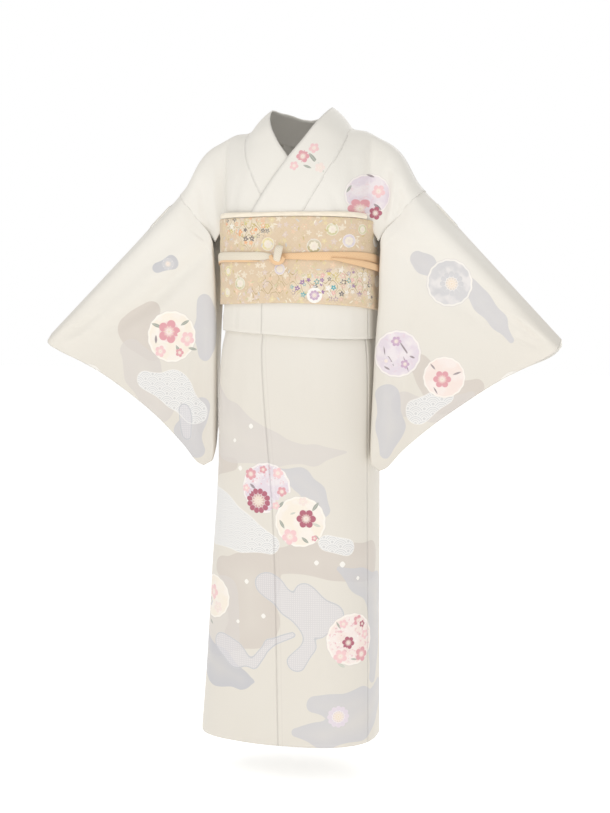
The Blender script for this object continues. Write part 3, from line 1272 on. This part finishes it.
SLEEVE_LEFT_FOLDS = [
    ([(186, 262), (250, 322), (340, 392), (430, 452)], 17, -5.0),
    ([(300, 250), (380, 332), (470, 424)], 22, 3.0),
    ([(420, 400), (456, 432), (500, 464)], 7, -3.4),
    ([(430, 440), (464, 456), (498, 474)], 6, -3.0),
    ([(396, 386), (440, 404), (500, 450)], 7, 2.2),
    ([(190, 430), (188, 560), (176, 680)], 13, 4.0),
    ([(226, 470), (222, 580), (206, 662)], 12, -3.6),
    ([(262, 500), (256, 580), (246, 640)], 14, 2.6),
    ([(216, 300), (230, 360), (228, 430)], 14, -2.4),
]
SLEEVE_RIGHT_FOLDS = [
    ([(160, 266), (218, 308), (308, 392), (408, 446)], 14, -8.0),
    ([(180, 246), (260, 300), (350, 380), (450, 446)], 20, 4.5),
    ([(200, 330), (270, 392), (340, 440)], 18, 3.0),
    ([(400, 400), (446, 430), (500, 462)], 7, -3.0),
    ([(420, 436), (460, 456), (496, 474)], 6, 2.4),
    ([(186, 420), (184, 560), (174, 680)], 13, -3.6),
    ([(214, 480), (208, 590), (196, 672)], 12, 3.6),
    ([(252, 520), (244, 600), (232, 650)], 12, -3.0),
    ([(300, 500), (292, 560), (284, 604)], 14, 2.0),
]
SLEEVE_REAR_FOLDS = [
    ([(200, 276), (280, 350), (380, 420), (460, 462)], 18, -5.0),
    ([(230, 420), (226, 540), (214, 660)], 16, 4.0),
    ([(270, 460), (262, 560), (246, 640)], 16, -3.6),
    ([(320, 470), (312, 540), (300, 596)], 14, 2.6),
]


SLEEVE_ROWS = 100
# The column of the soft fold, inside of which the cloth turns back towards the body
BEND_COLUMN = 15
# Creases fade out over these counts of columns or rows: at the cuff, at the top fold and at the lower edge
CUFF_FADE = 10
RIDGE_FADE = 14
LOW_FADE = 5
# Creases start below this height where the cloth turns back, and the lean fades out along the arm
INSIDE_START = 250
INSIDE_FADE = 60
LEAN_START = 200
LEAN_FADE = 150


def make_sleeves():
    rows = SLEEVE_ROWS
    places = spaced((0, 0.25, 16), (0.25, 0.5, 26), (0.5, 0.75, 32), (0.75, 1, 26))
    spread = np.linspace(0, 1, rows) ** 1.25

    def sewn(share, side):
        drop = share ** 1.3
        inward = ease(share * 4)
        across = between(SLEEVE_SEAM_TOP, SLEEVE_SEAM_LOW, drop) - SEWN_OVERLAP
        down = between(-shoulder_at(SLEEVE_SEAM_TOP), bodice_low_at(SLEEVE_SEAM_LOW), drop)
        sink = SEAM_SINK * np.array([0, -side * inward, inward - 1])
        return bodice_point(across, np.maximum(down, -shoulder_at(across)), side).reshape(3) + sink

    def layer(table, side):
        shares = [row[0] for row in table]
        edges = [np.array(row[1]) if row[1] else sewn(row[0] / SEWN_SHARE, side) for row in table]
        tracks = []
        for points in (edges, [row[2] for row in table], [row[3] for row in table]):
            points = np.array(points, float)
            tracks.append(np.stack([curve(shares, points[:, k])(spread) for k in range(3)], -1))
        start, bend, finish = tracks
        through = [start, bend, between(bend, finish, 0.3), between(bend, finish, 0.7), finish]
        return centripetal(through, places)

    front = layer(SLEEVE_FRONT, -1)
    back = layer(SLEEVE_BACK, 1)
    grid = np.concatenate([back[::-1], front[1:]])
    rear = np.zeros(grid.shape[:2], bool)
    rear[:rows - 1] = True
    inside = (np.arange(len(places)) < BEND_COLUMN)[None, :]
    turned = np.where(inside, np.abs(grid[..., 1] - grid[:, BEND_COLUMN, 1][:, None]), 0)
    u = grid[..., 0] - turned
    v = -grid[..., 2]
    ridge_gap = np.abs(np.arange(len(grid)) - (rows - 1))[:, None]
    fade = ease(np.arange(len(places))[::-1] / CUFF_FADE)[None, :] * np.ones(grid.shape[:2])
    fade *= ease(ridge_gap / RIDGE_FADE) * ease((rows - 1 - ridge_gap) / LOW_FADE)
    fade *= np.where(inside, ease((v - INSIDE_START) / INSIDE_FADE), 1)
    made = {}
    for node, table, sign in (
        ("sleeve_left", SLEEVE_LEFT_FOLDS, 1),
        ("sleeve_right", SLEEVE_RIGHT_FOLDS, -1),
    ):
        crease = np.where(rear, folds(u, v, SLEEVE_REAR_FOLDS), folds(u, v, table)) * fade
        face = raised(grid, crease)
        face_u = (u + SLEEVE_OFFSET) * sign + np.where(rear, BACK_OFFSET, 0)
        face_v = v[:, ::sign]
        if sign < 0:
            face = mirrored(face)
            face_u = face_u[:, ::-1]
        near = 1 - ease((np.abs(face[..., 0]) - LEAN_START) / LEAN_FADE)
        face = face + np.stack([lean_at(-face[..., 2]) * near, 0 * near, 0 * near], -1)
        made[node] = cloth(node, face, CLOTH, face_u, face_v, SILK, cell=5)
    return made


# The belt
belt_top_at = curve([-180, -90, 0, 50, 90, 180], [215, 219, 215, 217, 225, 215])
belt_bottom_at = curve([-180, -90, 0, 50, 90, 180], [392, 388, 381, 386, 398, 392])
DRUM_HALF_WIDTH = 150
DRUM_SAG = 14
DRUM_PROFILE = [
    (129, -226), (138, -202), (158, -187), (184, -186), (202, -200), (211, -232), (216, -290), (215, -350),
    (208, -410), (196, -448), (180, -464), (158, -466), (142, -456), (135.2, -438), (134.5, -404),
]
TAIL_PROFILE = [(129.9, -340), (130.3, -385), (130.9, -440), (132.4, -490), (135.4, -545)]
HAND_PROFILE = [(133.8, -302), (133.8, -370), (133.8, -436)]
HAND_HALF_WIDTH = 172
BELT_FOLDS = [
    ([(-230, 250), (-180, 256), (-120, 248)], 5, -0.8),
    ([(60, 240), (130, 262), (200, 258)], 7, -1.0),
    ([(-150, 350), (-60, 360), (20, 352)], 8, 0.8),
    ([(140, 330), (190, 350), (236, 372)], 5, -1.0),
    ([(-236, 330), (-220, 360), (-216, 384)], 5, 0.9),
]
DRUM_FOLDS = [
    ([(-120, -300), (-40, -330), (60, -318)], 14, -1.6),
    ([(120, -410), (60, -420), (0, -400)], 12, 1.6),
]
BELT_EDGE_ROUND = 3
BELT_EDGE_DROP = 0.9
# Where the belt's pattern starts on the parts behind, and after how much it comes again
BACK_PATTERN_START = 224
BACK_PATTERN_RUN = 160


def belt_lift(down, step):
    share = (down - BELT_TOP) / (BELT_BOTTOM - BELT_TOP)
    return between(BELT_STAND_TOP, BELT_STAND_BOTTOM, share) + step


# Medallions on the belt: across, down, radius, colour. Like the patches below they come again all round.
BELT_REPEATS = (0, 400, -400)
BELT_MEDALLIONS = [
    (-34, 268, 13, YELLOW), (92, 240, 12, MOSS), (124, 262, 13, LILAC), (152, 240, 10, MOSS),
    (58, 272, 14, KHAKI), (-128, 320, 10, YELLOW), (-96, 344, 12, MOSS), (-132, 362, 9, YELLOW),
    (60, 366, 15, WHITE), (-10, 316, 11, LILAC), (196, 262, 12, CREAM), (-196, 340, 12, CREAM),
]


BELT_PATCHES = {
    "zone_warm": [(-116, 232, 20), (-70, 246, 26), (-36, 236, 14)],
    "zone_cool": [(24, 352, 18), (84, 346, 30), (150, 340, 26), (176, 366, 16)],
    "zone_gold": [(-66, 362, 14), (-20, 344, 24), (16, 326, 14)],
}
BELT_LEAF_COLUMN = 14
BELT_LEAF_ROW = 15
BELT_LEAF_START = 226
BELT_LEAF_STRAY = 5
BELT_LEAF_SHARE = 0.4


def belt_motifs():
    """Woven medallions with a flower in each, and small leaves strewn between them, all round the belt."""
    dice = np.random.default_rng(11)
    medallions = []
    flowers = []
    for turn in BELT_REPEATS:
        for across, down, size, tint in BELT_MEDALLIONS:
            medallions.append((across + turn, down, size, 0, 0, tint))
            flowers.append((across + turn, down, size * 0.66, 10, 8, PLUM if tint is WHITE else PALE_GOLD))
    leaves = []
    for column in range(-40, 41):
        for row in range(11):
            if dice.uniform() < BELT_LEAF_SHARE:
                across = column * BELT_LEAF_COLUMN + dice.uniform(-BELT_LEAF_STRAY, BELT_LEAF_STRAY)
                down = BELT_LEAF_START + row * BELT_LEAF_ROW + dice.uniform(-BELT_LEAF_STRAY, BELT_LEAF_STRAY)
                tint = (MOSS, GOLD, PALE_GOLD, GREY)[int(dice.uniform() * 4)]
                leaves.append((across, down, 4.8, dice.uniform(0, 180), 0.3, tint))
    return {"roundel": medallions, "flower": flowers, "leaf": leaves}


BELT_MOTIFS = belt_motifs()


def brocade(node, grid, u, v, crease=0):
    piece = cloth(node, grid, BELT_CLOTH, u, v, BROCADE, crease, BELT_MOTIFS, cell=2.5)
    for name, stroke in BELT_PATCHES.items():
        add_points(piece.data, name, zone_gap(u, v, [stroke], BELT_REPEATS) + ripple(u, v, 9, 2.5))
    return piece


def belt_turn(node, start, end, step, inset):
    angle = np.linspace(start, end, 360)[None, :]
    share = np.linspace(0, 1, 62)[:, None]
    down = between(belt_top_at(angle) + inset, belt_bottom_at(angle) - inset, share)
    from_edge = np.minimum(share, 1 - share) * (BELT_BOTTOM - BELT_TOP)
    drop = BELT_EDGE_DROP * np.clip(1 - from_edge / BELT_EDGE_ROUND, 0, 1) ** 2
    grid = body_point(angle, down, belt_lift(down, step) - drop)
    u = np.broadcast_to(arc_at(angle), grid.shape[:2])
    return brocade(node, grid, u, down, folds(u, down, BELT_FOLDS) if step else 0)


def back_sheet(node, profile, half_width, offset):
    points = [np.array([y, z], float) for y, z in profile]
    line = centripetal(points, np.linspace(0, 1, 8 * len(points)))
    x = np.linspace(half_width, -half_width, 116)[None, :]
    y = line[:, :1] - DRUM_SAG * (x / DRUM_HALF_WIDTH) ** 2
    x, z = np.broadcast_arrays(x, line[:, 1:] + 0 * y)
    grid = np.stack([x, y, z], -1)
    length = np.concatenate([[0], np.cumsum(np.hypot(*np.diff(line, axis=0).T))])
    v = np.broadcast_to(BACK_PATTERN_START + length[:, None] % BACK_PATTERN_RUN, y.shape)
    return brocade(node, grid, x + offset, v, folds(x, z, DRUM_FOLDS) if node == "belt_drum" else 0)


def make_belt():
    return {
        "belt_first_turn": belt_turn("belt_first_turn", -178, 178, 0, 1),
        "belt_second_turn": belt_turn("belt_second_turn", -176, 176, BELT_STEP, 0),
        "belt_drum": back_sheet("belt_drum", DRUM_PROFILE, DRUM_HALF_WIDTH, 0),
        "belt_tail": back_sheet("belt_tail", TAIL_PROFILE, DRUM_HALF_WIDTH - 1, 40),
        "belt_hand": back_sheet("belt_hand", HAND_PROFILE, HAND_HALF_WIDTH, -60),
    }


# The sash cloth between the bodice and the belt, and round the drum's pillow
SASH_CLOTH = 1.2
SASH_STEPS = [0, 0.33, 0.66, 1]
SASH_RISE = [8, 6, 3, 0.7]
SASH_OUT = [5.8, 8.6, 10, 9.4]
SASH_ENDS = {"sash_front": (-68, 67), "sash_back": (112, 248)}
PILLOW_HALF_LENGTH = 104
PILLOW_BACK = 172
PILLOW_HALF_DEPTH = 17
PILLOW_DOWN = 202.4
PILLOW_HALF_HEIGHT = 13


def make_sash():
    made = {}
    for node, (start, end) in SASH_ENDS.items():
        angle = np.linspace(start, end, 220)[None, :]
        share = np.linspace(0, 1, 20)[:, None]
        rise = curve(SASH_STEPS, SASH_RISE)(share)
        out = curve(SASH_STEPS, SASH_OUT)(share)
        level = np.where(angle > 180, angle - 360, angle)
        gathers = 0.8 * np.sin(angle * 0.29 + 3 * share) + 0.5 * np.sin(angle * 0.71 - 4 * share)
        rise = rise * (1.15 + 0.3 * ease((np.abs(level) - 20) / 40))
        grid = body_point(angle, belt_top_at(level) - rise, out + gathers * np.sin(np.pi * share))
        u = np.broadcast_to(arc_at(angle), grid.shape[:2])
        v = np.broadcast_to(share * 16, grid.shape[:2])
        made[node] = finish_piece(sheet_mesh(node, grid, SASH_CLOTH, u, v, False)[0], node, SASH)
    theta = np.linspace(0, 2 * np.pi, 96)[None, :]
    phi = np.linspace(0.02, np.pi - 0.02, 48)[:, None]
    wrinkle = 1 + 0.03 * np.sin(theta * 9 + 4 * phi) * np.sin(phi) + 0.02 * np.sin(theta * 17 - 6 * phi)
    x = PILLOW_HALF_LENGTH * np.cos(phi) + 0 * theta
    sag = DRUM_SAG * (x / DRUM_HALF_WIDTH) ** 2
    y = PILLOW_BACK + PILLOW_HALF_DEPTH * np.sin(phi) * np.cos(theta) * wrinkle - sag
    z = -PILLOW_DOWN + PILLOW_HALF_HEIGHT * np.sin(phi) * np.sin(theta) * wrinkle
    grid = np.stack([x, y, z], -1)
    made["sash_pillow"] = closed_form("cloth_sash_pillow", "sash_pillow", grid, SASH)
    return made


def closed_form(name, node, grid, material):
    """A rounded solid from a grid that closes round its columns, with its ends capped."""
    rows, columns = grid.shape[:2]
    around = columns - 1
    row, column = np.meshgrid(np.arange(rows - 1) * around, np.arange(around), indexing="ij")
    here = row + column
    beside = row + (column + 1) % around
    faces = np.stack([here, beside, beside + around, here + around], -1).reshape(-1, 4).tolist()
    faces.append(list(range(around))[::-1])
    faces.append(list(range((rows - 1) * around, rows * around)))
    mesh = bpy.data.meshes.new(name)
    mesh.from_pydata((grid[:, :-1].reshape(-1, 3) / 1000).tolist(), [], faces)
    layer = mesh.uv_layers.new(name="cloth")
    size = np.linalg.norm(np.diff(grid[:, 0], axis=0), axis=-1)
    run = np.concatenate([[0], np.cumsum(size)]) / 1000
    girth = np.linalg.norm(np.diff(grid[rows // 2], axis=0), axis=-1).sum() / 1000
    values = np.zeros((len(mesh.loops), 2))
    index = np.zeros(len(mesh.loops), int)
    mesh.loops.foreach_get("vertex_index", index)
    values[:, 0] = run[index // around]
    values[:, 1] = (index % around) / around * girth
    layer.data.foreach_set("uv", values.ravel())
    for polygon in mesh.polygons:
        polygon.use_smooth = True
    mesh.update()
    form = bmesh.new()
    form.from_mesh(mesh)
    bmesh.ops.recalc_face_normals(form, faces=form.faces)
    form.to_mesh(mesh)
    form.free()
    return finish_piece(mesh, node, material)


# The braided cord and its knot
CORD_HALF_WIDTH = 8.2
CORD_GAP = 0.8
CORD_CROWN = 0.7
CROSSING_GAP = 0.3
CORD_LEVEL = 291
CORD_BACK_LEVEL = 330
# The cord falls towards the back from this angle on
CORD_FALL_START = 55
CORD_FALL_OVER = 90
CORD_REACH = 124
SECTION_POWER = 0.75
STRAND_STEPS = 14
STRAND_SIDES = 24
# The cord's second colour runs along its lower edge
EDGE_DROP = 9.6


def strand(name, node, points, widths, half_depth, material):
    """A flattened braided strand along points, with an oval section. Widths run up and down the body."""
    path = centripetal(points, np.linspace(0, 1, STRAND_STEPS * len(points)))
    width = curve(np.linspace(0, 1, len(points)), widths)(np.linspace(0, 1, len(path)))[:, None, None]
    tangent = np.gradient(path, axis=0)
    tangent /= np.linalg.norm(tangent, axis=-1, keepdims=True)
    outward = path * [1, 1, 0]
    outward /= np.linalg.norm(outward, axis=-1, keepdims=True)
    outward -= tangent * np.sum(outward * tangent, axis=-1, keepdims=True)
    outward /= np.linalg.norm(outward, axis=-1, keepdims=True)
    sideways = np.cross(tangent, outward)
    theta = np.linspace(0, 2 * np.pi, STRAND_SIDES + 1)[None, :, None]
    cosine = np.sign(np.cos(theta)) * np.abs(np.cos(theta)) ** SECTION_POWER
    sine = np.sign(np.sin(theta)) * np.abs(np.sin(theta)) ** SECTION_POWER
    grid = path[:, None] + sideways[:, None] * width * cosine + outward[:, None] * half_depth * sine
    return closed_form(name, node, grid, material)


def on_belt(angle, down, out):
    return body_point(angle, down, belt_lift(down, BELT_STEP) + out).reshape(3)


def cord_level(angle):
    return between(CORD_LEVEL, CORD_BACK_LEVEL, ease((abs(angle) - CORD_FALL_START) / CORD_FALL_OVER))


def make_cord():
    half_depth = CORD_THICKNESS / 2
    stand = half_depth + CORD_GAP
    base = CORD_THICKNESS + CORD_GAP + CORD_CROWN + CROSSING_GAP

    def band(start, end, count, drop=0):
        return [(a, cord_level(a) + drop, stand) for a in np.linspace(start, end, count)]

    full = CORD_HALF_WIDTH
    peach = band(-4, CORD_REACH, 22)
    pale = band(-8, -CORD_REACH, 22)
    edge = band(-24, -CORD_REACH, 14, EDGE_DROP)
    crossed = ((40, 295.5), (50, 300), (60, 305), (70, 310.5), (80, 316), (90, 321))
    tucked = [(a, down, base + half_depth) for a, down in crossed]
    lump = ((-12.5, 290, 3), (-10.5, 297, 5), (-6.5, 301.5, 6.5), (-2.5, 300, 6.5), (0.5, 293, 4.5))
    keeper = ((-3.6, 272, 3.5), (-3.8, 276, 7.5), (-4.6, 286, 10), (-5.6, 296, 9.5), (-6.2, 300.5, 7))
    knot = [(a, down, base + out) for a, down, out in lump]
    loop = [(a, down, base + out) for a, down, out in keeper]
    peach_widths = [5, 5.6, 6.2, 6.8, 7.4, 7.8] + [full] * 16
    pale_widths = [1.4, 4.6, 7.2] + [full] * 19
    for name, node, places, widths, depth, material in (
        ("cord_band_peach", "cord_band", peach, peach_widths, half_depth, PEACH_CORD),
        ("cord_band_pale", None, pale, pale_widths, half_depth, PALE_CORD),
        ("cord_band_edge", None, edge, [0.8, 1.6] + [2.2] * 12, 1.1, PEACH_CORD),
        ("cord_end_tucked", "cord_end", tucked, [2, 4.4, 6, 6.6, 6.6, 5], half_depth, PEACH_CORD),
        ("cord_knot_lump", "cord_knot", knot, [3.6, 5.6, 6.6, 6.4, 4.6], 2.8, PEACH_CORD),
        ("cord_knot_keeper", "cord_loop", loop, [7, 7.8, 8, 7.2, 6], 2.2, PALE_CORD),
    ):
        strand(name, node, [on_belt(*place) for place in places], widths, depth, material)


bodice = make_bodice()
collar = make_collar()
tuck = make_tuck()
skirt = make_skirt()
sleeves = make_sleeves()
belt = make_belt()
sash = make_sash()
make_cord()

# What each sheet was cut to, in metres: width, length, how it is held, what carries it and its cut area
PAIR_CUTS = {
    "bodice_front": (0.24, 0.24, "draped", "collar", 0.036),
    "bodice_back": (0.26, 0.24, "draped", "collar", 0.049),
    "collar": (0.09, 0.42, "draped", "bodice_front", None),
    "sleeve": (0.33, 0.98, "draped", "bodice_front", None),
}
TUCK_WIDTHS = {
    "front_right": 0.29, "overlap_left": 0.11, "front_left": 0.24, "back_left": 0.27, "back_right": 0.21,
}
SKIRT_WIDTHS = {
    "front_right": (0.27, "front_right"), "overlap_right": (0.18, "front_right"),
    "overlap_left": (0.20, "overlap_left"), "front_left": (0.22, "front_left"),
    "back_left": (0.29, "back_left"), "back_right": (0.22, "back_right"),
}
CUTS = {
    "belt_first_turn": (0.17, 0.93, "folded", "tuck_front_left", None),
    "belt_second_turn": (0.17, 0.95, "folded", "belt_first_turn", None),
    "belt_drum": (0.31, 0.47, "folded", "sash_pillow", None),
    "belt_tail": (0.30, 0.21, "hung", "belt_second_turn", None),
    "belt_hand": (0.345, 0.135, "folded", "belt_second_turn", None),
    "sash_front": (0.30, 0.01, "folded", "belt_second_turn", None),
    "sash_back": (0.34, 0.01, "folded", "belt_second_turn", None),
}
for name, (width, length, held, support, area) in PAIR_CUTS.items():
    for side in ("left", "right"):
        CUTS[f"{name}_{side}"] = (width, length, held, f"{support}_{side}", area)
for name, width in TUCK_WIDTHS.items():
    CUTS["tuck_" + name] = (width, 0.21, "folded", "belt_first_turn", None)
for name, (width, support) in SKIRT_WIDTHS.items():
    CUTS["skirt_" + name] = (width, 0.84, "hung", "tuck_" + support, None)

for node, piece in {**bodice, **collar, **tuck, **skirt, **sleeves, **belt, **sash}.items():
    if node == "sash_pillow":
        continue
    width, length, held, support, area = CUTS[node]

# Camera, floor and light
CAMERA_TURN = math.radians(15)
CAMERA_DISTANCE = 3.4
CAMERA_HEIGHT = -0.3
CAMERA_PITCH = math.radians(4.9)
FOCAL_PIXELS = 1700
IMAGE_HEIGHT = 813
AXIS_OFFSET_PIXELS = 3.5
FLOOR_DOWN = 1.33
FLOOR_HALF = 12
WORLD_LIGHT = 0.62
LIGHT_TARGET = (0, 0, -0.6)
SENSOR_HEIGHT = 36


def make_camera():
    data = bpy.data.cameras.new("camera")
    data.sensor_fit = "VERTICAL"
    data.sensor_height = SENSOR_HEIGHT
    data.lens = FOCAL_PIXELS / IMAGE_HEIGHT * SENSOR_HEIGHT
    data.shift_x = AXIS_OFFSET_PIXELS / IMAGE_HEIGHT
    camera = bpy.data.objects.new("camera", data)
    x = math.sin(CAMERA_TURN) * CAMERA_DISTANCE
    y = -math.cos(CAMERA_TURN) * CAMERA_DISTANCE
    camera.location = (x, y, CAMERA_HEIGHT)
    camera.rotation_euler = (math.pi / 2 - CAMERA_PITCH, 0, CAMERA_TURN)
    bpy.context.scene.collection.objects.link(camera)
    bpy.context.scene.camera = camera


def make_floor():
    mesh = bpy.data.meshes.new("floor")
    corners = [(-1, -1), (1, -1), (1, 1), (-1, 1)]
    mesh.from_pydata([(x * FLOOR_HALF, y * FLOOR_HALF, -FLOOR_DOWN) for x, y in corners], [], [(0, 1, 2, 3)])
    floor = bpy.data.objects.new("floor", mesh)
    bpy.context.scene.collection.objects.link(floor)
    n = Nodes("floor")
    n.surface((0.93, 0.93, 0.92), 0.7, Emission_Color=(1, 1, 1, 1), Emission_Strength=0.5)
    mesh.materials.append(n.material)


def add_light(name, place, size, power, colour):
    data = bpy.data.lights.new(name, "AREA")
    data.shape = "RECTANGLE"
    data.size = size
    data.size_y = size * 1.2
    data.energy = power
    data.color = colour
    light = bpy.data.objects.new(name, data)
    light.location = place
    away = np.array(place) - LIGHT_TARGET
    tilt = math.atan2(math.hypot(away[0], away[1]), away[2])
    light.rotation_euler = (tilt, 0, math.atan2(away[0], -away[1]))
    bpy.context.scene.collection.objects.link(light)


def make_light():
    world = bpy.data.worlds.new("world")
    bpy.context.scene.world = world
    world.use_nodes = True
    tree = world.node_tree
    background = tree.nodes["Background"]
    background.inputs["Color"].default_value = (1, 1, 1, 1)
    rays = tree.nodes.new("ShaderNodeLightPath")
    brightness = tree.nodes.new("ShaderNodeMapRange")
    brightness.inputs["To Min"].default_value = WORLD_LIGHT
    brightness.inputs["To Max"].default_value = 1
    tree.links.new(rays.outputs["Is Camera Ray"], brightness.inputs["Value"])
    tree.links.new(brightness.outputs["Result"], background.inputs["Strength"])
    add_light("key", (-1.6, -2.4, 2.3), 1.8, 25, (1, 0.99, 0.97))
    add_light("fill", (2.3, -2.5, 0.8), 1.8, 8, (1, 0.99, 0.98))
    add_light("front", (0.8, -3.4, 0.3), 1, 12, (1, 0.99, 0.98))
    add_light("rear", (0.4, 2.6, 1.4), 1.6, 22, (1, 1, 1))
    bpy.context.scene.view_settings.view_transform = "Standard"


make_camera()
make_floor()
make_light()
